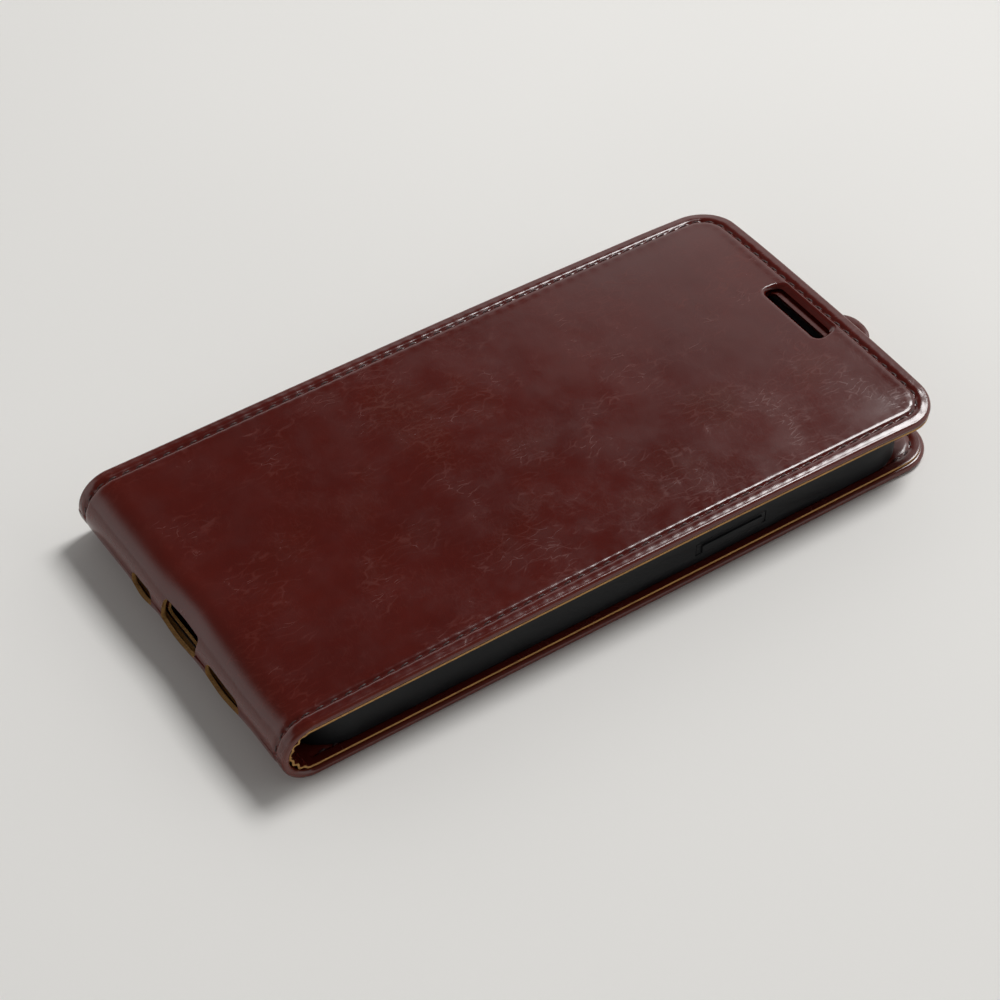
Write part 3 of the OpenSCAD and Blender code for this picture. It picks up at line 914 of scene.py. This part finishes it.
rear_pocket = card_pocket("rear_pocket_leaf", rear_low, rear_high, PANEL_T, 0.0)
stands_for(rear_pocket, "lining", "rear_card_pocket")
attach(rear_pocket, "cover")
front_depth = PANEL_T + (rear_high.z - front_high.z)
front_pocket = card_pocket("front_pocket_leaf", front_low, front_high, front_depth, 0.12)
stands_for(front_pocket, "lining", "front_card_pocket")
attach(front_pocket, "cover")


# The pull tab


def pull_tab(name, high_side):
    """One leaf of the tab, from its sewn-in root out to its round end."""
    half = tab_high.x - (0.2 if high_side else 0.0)
    end = tab_high.y - (0.2 if high_side else 0.0)
    start = FREE_Y + 0.35 if high_side else FREE_Y - 7.9
    radius = TAB_R - (0.2 if high_side else 0.0)
    steps = [0, 0.03, 0.1, 0.22, 0.4, 0.8, 1.3, 1.7, 2.0, 2.2, 2.4, 2.8, 3.6, 4.5, radius]
    grid = panel_grid(half, end, start, radius, steps, 0.5, 0.4)
    split = tab_low.z + 0.65

    def lift(run):
        return 0.35 * ease((run - FREE_Y - 2) / 9)

    def outer(x, run, inset):
        if high_side:
            return split + 0.005 + lift(run)
        out = ease((run - FREE_Y + 0.6) / 1.2)
        edge = 0.3 * (1 - math.sqrt(max(0, 1 - (1 - clamp(inset / 0.4)) ** 2)))
        return SKIN_T + 0.04 + (tab_low.z - SKIN_T - 0.04) * out + edge + lift(run)

    def inner(x, run, inset):
        if high_side:
            edge = 0.3 * (1 - math.sqrt(max(0, 1 - (1 - clamp(inset / 0.4)) ** 2)))
            pull = 0.1 * bell(inset, 2.0, 0.35)
            return split + 0.6 - edge - pull + lift(run)
        out = ease((run - FREE_Y + 0.6) / 1.2)
        return (TURNED_T - 0.04) * (1 - out) + split * out + lift(run)

    piece = slab(name, grid, outer, inner, False, [POCKET_LEATHER, RAW_EDGE], 1)
    shade(piece, 50)
    return piece


tab_outer = pull_tab("pull_tab_outer", False)
stands_for(tab_outer, "leather", "tab_skin", "tab_root")
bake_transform(tab_outer)
tab_inner = pull_tab("pull_tab_inner", True)
stands_for(tab_inner, "lining", "tab_lining")
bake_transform(tab_inner)


# Moulded parts and plates


def eased_copy(name, node, material, width, segments=2, rise=None):
    """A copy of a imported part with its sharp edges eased, as it comes from the mould."""
    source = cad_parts[node]
    mesh = source.data.copy()
    mesh.name = name
    mesh.materials.clear()
    mesh.materials.append(material)
    piece = bpy.data.objects.new(name, mesh)
    bpy.context.scene.collection.objects.link(piece)
    shell = bmesh.new()
    shell.from_mesh(mesh)
    bmesh.ops.remove_doubles(shell, verts=shell.verts, dist=1e-6)
    bmesh.ops.dissolve_limit(shell, angle_limit=math.radians(0.6), verts=shell.verts, edges=shell.edges)
    shell.to_mesh(mesh)
    shell.free()
    ease_edges = piece.modifiers.new("eased", "BEVEL")
    ease_edges.width = width * MM
    ease_edges.segments = segments
    ease_edges.limit_method = "ANGLE"
    ease_edges.angle_limit = math.radians(40)
    ease_edges.use_clamp_overlap = True
    settle_modifiers(piece)
    if rise:
        for v in piece.data.vertices:
            v.co.z += rise(v.co.x / MM, v.co.y / MM) * MM
    shade(piece, 30)
    return piece


tray = eased_copy("moulded_tray", "phone_tray", TRAY_PLASTIC, 0.18)
stands_for(tray, "tray_plastic", "phone_tray")
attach(tray, "back")
KEY_PADS = (("volume_pad", "volume_key_pad", "volume_key"), ("power_pad", "power_key_pad", "power_key"))
for label, node, body in KEY_PADS:
    pad = eased_copy(label, node, TRAY_PLASTIC, 0.16, 3)
    stands_for(pad, "tray_plastic", node)
    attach(pad, body)
magnets = eased_copy("closing_magnets", "cover_magnets", NICKEL, 0.1, 2, cover_rise)
stands_for(magnets, "steel", "cover_magnets")
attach(magnets, "cover")
for node, material in (("back_board", BOARD), ("tray_adhesive", ADHESIVE), ("catch_strips", NICKEL)):
    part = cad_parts[node]
    part.data.materials.clear()
    part.data.materials.append(material)


# Stitches


def stitch_tree():
    """Lays one twisted stitch at each even step of a seam's path."""
    tree = bpy.data.node_groups.new("run_of_stitches", "GeometryNodeTree")
    face = tree.interface
    face.new_socket(name="Path", in_out="INPUT", socket_type="NodeSocketGeometry")
    for name, kind, value in (
        ("Count", "NodeSocketInt", 10),
        ("Stitch length", "NodeSocketFloat", 2.15 * MM),
        ("Thread", "NodeSocketFloat", THREAD * MM),
        ("Rise", "NodeSocketFloat", 0.06 * MM),
        ("Dip", "NodeSocketFloat", 0.3 * MM),
        ("Slant", "NodeSocketFloat", 0.2),
        ("Seed", "NodeSocketInt", 5),
    ):
        made = face.new_socket(name=name, in_out="INPUT", socket_type=kind)
        made.default_value = value
    face.new_socket(name="Finish", in_out="INPUT", socket_type="NodeSocketMaterial")
    face.new_socket(name="Stitches", in_out="OUTPUT", socket_type="NodeSocketGeometry")
    nodes, links = tree.nodes, tree.links
    start = nodes.new("NodeGroupInput")
    finish = nodes.new("NodeGroupOutput")

    def add(kind, settings=None, **inputs):
        node = nodes.new(kind)
        for key, value in (settings or {}).items():
            setattr(node, key, value)
        for key, value in inputs.items():
            slot = node.inputs[key.replace("_", " ")]
            if isinstance(value, bpy.types.NodeSocket):
                links.new(value, slot)
            else:
                slot.default_value = value
        return node

    def calc(operation, a, b):
        node = add("ShaderNodeMath", {"operation": operation})
        for slot, value in zip(node.inputs, (a, b)):
            if isinstance(value, bpy.types.NodeSocket):
                links.new(value, slot)
            else:
                slot.default_value = value
        return node.outputs[0]

    sizes = start.outputs
    half = calc("MULTIPLY", sizes["Stitch length"], 0.5)
    low = calc("MULTIPLY", sizes["Dip"], -1.0)
    high = calc("MULTIPLY", calc("ADD", sizes["Rise"], sizes["Dip"]), 1.6)
    left = add("ShaderNodeCombineXYZ", X=calc("MULTIPLY", half, -1.0), Z=low)
    top = add("ShaderNodeCombineXYZ", Z=calc("ADD", high, low))
    right = add("ShaderNodeCombineXYZ", X=half, Z=low)
    ends = {"Start": left.outputs[0], "Middle": top.outputs[0], "End": right.outputs[0]}
    arc = add("GeometryNodeCurveQuadraticBezier", Resolution=8, **ends)
    along = add("GeometryNodeSplineParameter").outputs["Factor"]
    twisted = add("GeometryNodeSetCurveTilt", Curve=arc.outputs[0], Tilt=calc("MULTIPLY", along, 9.4))
    taper = calc("ADD", 0.62, calc("MULTIPLY", calc("SINE", calc("MULTIPLY", along, math.pi), 0.0), 0.38))
    radius = calc("MULTIPLY", sizes["Thread"], 0.5)
    strand = add("GeometryNodeCurvePrimitiveCircle", Resolution=6, Radius=radius)
    oval = add("GeometryNodeTransform", Geometry=strand.outputs[0], Scale=(1.12, 0.78, 1.0))
    shape = {"Curve": twisted.outputs[0], "Profile_Curve": oval.outputs[0], "Scale": taper}
    body = add("GeometryNodeCurveToMesh", Fill_Caps=True, **shape)
    smooth = add("GeometryNodeSetShadeSmooth", Geometry=body.outputs[0])
    path = add("GeometryNodeMeshToCurve", Mesh=sizes["Path"])
    steps = add("GeometryNodeResampleCurve", {"mode": "COUNT"}, Curve=path.outputs[0], Count=sizes["Count"])
    out = add("GeometryNodeInputNamedAttribute", {"data_type": "FLOAT_VECTOR"}, Name="face_out")
    way = add("GeometryNodeInputNamedAttribute", {"data_type": "FLOAT_VECTOR"}, Name="seam_way")
    upright = add("FunctionNodeAlignRotationToVector", {"axis": "Z"}, Vector=out.outputs["Attribute"])
    lined = add(
        "FunctionNodeAlignRotationToVector",
        {"axis": "X", "pivot_axis": "Z"},
        Rotation=upright.outputs[0],
        Vector=way.outputs["Attribute"],
    )
    loose = add("FunctionNodeRandomValue", {"data_type": "FLOAT"}, Seed=sizes["Seed"])
    loose.inputs[2].default_value = -0.05
    loose.inputs[3].default_value = 0.05
    yaw = add("ShaderNodeCombineXYZ", Z=calc("ADD", sizes["Slant"], loose.outputs[1]))
    turn = add("FunctionNodeEulerToRotation", Euler=yaw.outputs[0])
    angles = {"Rotation": lined.outputs[0], "Rotate_By": turn.outputs[0]}
    turned = add("FunctionNodeRotateRotation", {"rotation_space": "LOCAL"}, **angles)
    placed = {"Points": steps.outputs[0], "Instance": smooth.outputs[0], "Rotation": turned.outputs[0]}
    laid = add("GeometryNodeInstanceOnPoints", **placed)
    real = add("GeometryNodeRealizeInstances", Geometry=laid.outputs[0])
    dyed = add("GeometryNodeSetMaterial", Geometry=real.outputs[0], Material=sizes["Finish"])
    links.new(dyed.outputs[0], finish.inputs[0])
    return tree


STITCH_TREE = stitch_tree()


def sewn_run(name, points, ways, outs, count, **sizes):
    """Stitches along one path, made plain mesh."""
    mesh = bpy.data.meshes.new(name)
    mesh.from_pydata([tuple(p) for p in points], [(i, i + 1) for i in range(len(points) - 1)], [])
    for label, vectors in (("seam_way", ways), ("face_out", outs)):
        mark = mesh.attributes.new(label, "FLOAT_VECTOR", "POINT")
        mark.data.foreach_set("vector", [c for v in vectors for c in v])
    path = bpy.data.objects.new(name, mesh)
    bpy.context.scene.collection.objects.link(path)
    tool = path.modifiers.new("stitches", "NODES")
    tool.node_group = STITCH_TREE
    sockets = STITCH_TREE.interface.items_tree
    known = {item.name: item.identifier for item in sockets if item.in_out == "INPUT"}
    tool[known["Count"]] = count
    tool[known["Finish"]] = THREAD_FINISH
    for key, value in sizes.items():
        tool[known[key.replace("_", " ")]] = value
    return settle_modifiers(path)


def seam_run(name, cover, face_depth, reach, outside, **sizes):
    """The seam round a panel at one face, from one side of the bend to the other."""
    points, ways, outs = [], [], []
    n = 700
    for k in range(n + 1):
        q = -reach + 2 * reach * k / n
        place, way = seam_place(SEAM, q)
        base = on_sheet(place.x, place.y, face_depth, cover)
        ahead_place, _ = seam_place(SEAM, q + 0.02)
        ahead = on_sheet(ahead_place.x, ahead_place.y, face_depth, cover)
        away = on_sheet(place.x, place.y, face_depth - (0.1 if outside else -0.1), cover)
        points.append(base * MM)
        ways.append((ahead - base).normalized())
        outs.append((away - base).normalized())
    count = round(2 * reach / PITCH) + 1
    return sewn_run(name, points, ways, outs, count, **sizes)


def join_pieces(name, pieces):
    joined = bmesh.new()
    for piece in pieces:
        joined.from_mesh(piece.data)
    mesh = bpy.data.meshes.new(name)
    joined.to_mesh(mesh)
    joined.free()
    mesh.materials.append(THREAD_FINISH)
    mesh.shade_smooth()
    for piece in pieces:
        bpy.data.objects.remove(piece)
    made = bpy.data.objects.new(name, mesh)
    bpy.context.scene.collection.objects.link(made)
    return made


flat_reach = PITCH * (math.floor((SEAM_HALF - BEND_R * math.pi / 2) / PITCH) - 0.5)
full_reach = PITCH * (STITCHES - 0.5)
for cover, label, nodes in (
    (False, "back_panel_stitches", ("back_seam", "spine_seam")),
    (True, "cover_stitches", ("cover_seam",)),
):
    outer_run = seam_run(label + "_outer", cover, 0.19 if cover else 0.27, full_reach, True, Seed=3 + cover)
    inner_run = seam_run(label + "_inner", cover, PANEL_T - 0.2, flat_reach, False, Seed=7 + cover)
    seam = join_pieces(label, [outer_run, inner_run])
    stands_for(seam, "thread", *nodes)
    follow_fold(seam, cover)


def pocket_seam():
    """Three sides of the front pocket, sewn through all leaves."""
    half, top = front_high.x - 2.0, front_high.y - 2.0
    foot = front_low.y + 3.2
    depth = CASE_T - front_low.z - 0.05
    corners = [(-half, foot), (-half, top), (half, top), (half, foot)]
    runs = []
    for k, ((x0, y0), (x1, y1)) in enumerate(zip(corners, corners[1:])):
        length = math.hypot(x1 - x0, y1 - y0)
        count = round(length / 2.6)
        gap = 0.5 / count
        points, ways, outs = [], [], []
        for i in range(61):
            t = gap + (1 - 2 * gap) * i / 60
            x, y = x0 + (x1 - x0) * t, y0 + (y1 - y0) * t
            points.append(on_sheet(x, y, depth, True) * MM)
            ways.append(Vector((x1 - x0, y1 - y0, 0)).normalized())
            outs.append(Vector((0, 0, -1)))
        sizes = {"Stitch_length": 1.95 * MM, "Thread": 0.3 * MM, "Rise": 0.06 * MM}
        sizes |= {"Dip": 0.14 * MM, "Seed": 11 + k}
        runs.append(sewn_run(f"pocket_side_{k}", points, ways, outs, count, **sizes))
    seam = join_pieces("pocket_stitches", runs)
    stands_for(seam, "thread", "pocket_seam")
    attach(seam, "cover")


pocket_seam()


def tab_seam():
    """A U of stitches along the tab's sides and round its end."""
    inset = 2.2
    radius = TAB_R - inset
    half = tab_high.x - inset
    corner_y = tab_high.y - TAB_R
    straight = corner_y - (FREE_Y + 1.6)
    arc = radius * math.pi / 2
    bar = 2 * (half - radius)
    total = 2 * straight + 2 * arc + bar
    count = round(total / 2.6)
    points, ways = [], []
    n = 160
    for k in range(n + 1):
        q = total * (0.5 / count + (1 - 1 / count) * k / n)
        if q <= straight:
            x, y, way = -half, corner_y - straight + q, (0, 1, 0)
        elif q <= straight + arc:
            a = (q - straight) / radius
            x, y = -half + radius * (1 - math.cos(a)), corner_y + radius * math.sin(a)
            way = (math.sin(a), math.cos(a), 0)
        elif q <= straight + arc + bar:
            x, y, way = -half + radius + (q - straight - arc), corner_y + radius, (1, 0, 0)
        elif q <= straight + 2 * arc + bar:
            a = (q - straight - arc - bar) / radius
            x, y = half - radius * (1 - math.sin(a)), corner_y + radius * math.cos(a)
            way = (math.cos(a), -math.sin(a), 0)
        else:
            x, y, way = half, corner_y - (q - straight - 2 * arc - bar), (0, -1, 0)
        z = tab_low.z + 1.25 - 0.06 + 0.35 * ease((y - FREE_Y - 2) / 9)
        points.append(Vector((x, y, z)) * MM)
        ways.append(Vector(way))
    outs = [Vector((0, 0, 1))] * len(points)
    sizes = {"Stitch_length": 1.9 * MM, "Thread": 0.34 * MM, "Rise": 0.07 * MM, "Dip": 0.18 * MM, "Seed": 21}
    seam = sewn_run("tab_stitches", points, ways, outs, count, **sizes)
    seam.data.shade_smooth()
    stands_for(seam, "thread", "tab_seam")
    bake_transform(seam)


tab_seam()


# Table, light and camera

table_mesh = bpy.data.meshes.new("pale_table")
reach = 4.0
table_top = -2e-5
corners = [(x * reach, y * reach, table_top) for x, y in ((-1, -1), (1, -1), (1, 1), (-1, 1))]
table_mesh.from_pydata(corners, [], [(0, 1, 2, 3)])
table_mesh.materials.append(TABLE)
table = bpy.data.objects.new("pale_table", table_mesh)
bpy.context.scene.collection.objects.link(table)


def softbox(name, place, aim, width, height, power, tint=(1.0, 1.0, 1.0)):
    light = bpy.data.lights.new(name, "AREA")
    light.shape = "RECTANGLE"
    light.size, light.size_y = width, height
    light.energy = power
    light.color = tint
    lamp = bpy.data.objects.new(name, light)
    bpy.context.scene.collection.objects.link(lamp)
    lamp.location = place
    lamp.rotation_euler = (Vector(aim) - Vector(place)).to_track_quat("-Z", "Y").to_euler()
    return lamp


softbox("far_softbox", (-0.26, 0.98, 1.34), (0, 0, 0), 0.56, 0.56, 19.6, (1.0, 0.992, 0.988))


def room_light():
    """Plain pale room: a bright far end, dim overhead, and a faint glow low down all round."""
    world = bpy.data.worlds.new("room")
    world.use_nodes = True
    nodes, links = world.node_tree.nodes, world.node_tree.links
    back = nodes["Background"]
    way = nodes.new("ShaderNodeTexCoord").outputs["Generated"]

    def glow(direction, bright, dark, strong, weak):
        along = nodes.new("ShaderNodeVectorMath")
        along.operation = "DOT_PRODUCT"
        links.new(way, along.inputs[0])
        along.inputs[1].default_value = direction
        ramp = nodes.new("ShaderNodeMapRange")
        ramp.interpolation_type = "SMOOTHSTEP"
        for name, value in (("From Min", bright), ("From Max", dark), ("To Min", strong), ("To Max", weak)):
            ramp.inputs[name].default_value = value
        links.new(along.outputs["Value"], ramp.inputs["Value"])
        return ramp.outputs["Result"]

    larger = nodes.new("ShaderNodeMath")
    larger.operation = "MAXIMUM"
    links.new(glow((0.107, -0.775, 0.623), -0.064, 0.022, 1.0, 0.09), larger.inputs[0])
    links.new(glow((0.25, 0.2, 1.0), 0.05, 0.5, 0.95, 0.09), larger.inputs[1])
    links.new(larger.outputs[0], back.inputs["Strength"])
    back.inputs["Color"].default_value = (1.0, 0.99, 0.975, 1.0)
    bpy.context.scene.world = world


room_light()
bpy.context.scene.view_settings.view_transform = "Standard"

camera_data = bpy.data.cameras.new("camera")
camera_data.sensor_width = 36
camera_data.lens = 97.13
camera = bpy.data.objects.new("camera", camera_data)
camera.location = (0.3140, -0.22108, 0.38052)
turned = Matrix.Rotation(math.radians(56.0656), 3, "Z") @ Matrix.Rotation(math.radians(90 - 45.1018), 3, "X")
camera.rotation_euler = (turned @ Matrix.Rotation(math.radians(-0.123), 3, "Z")).to_euler()
bpy.context.scene.collection.objects.link(camera)
bpy.context.scene.camera = camera
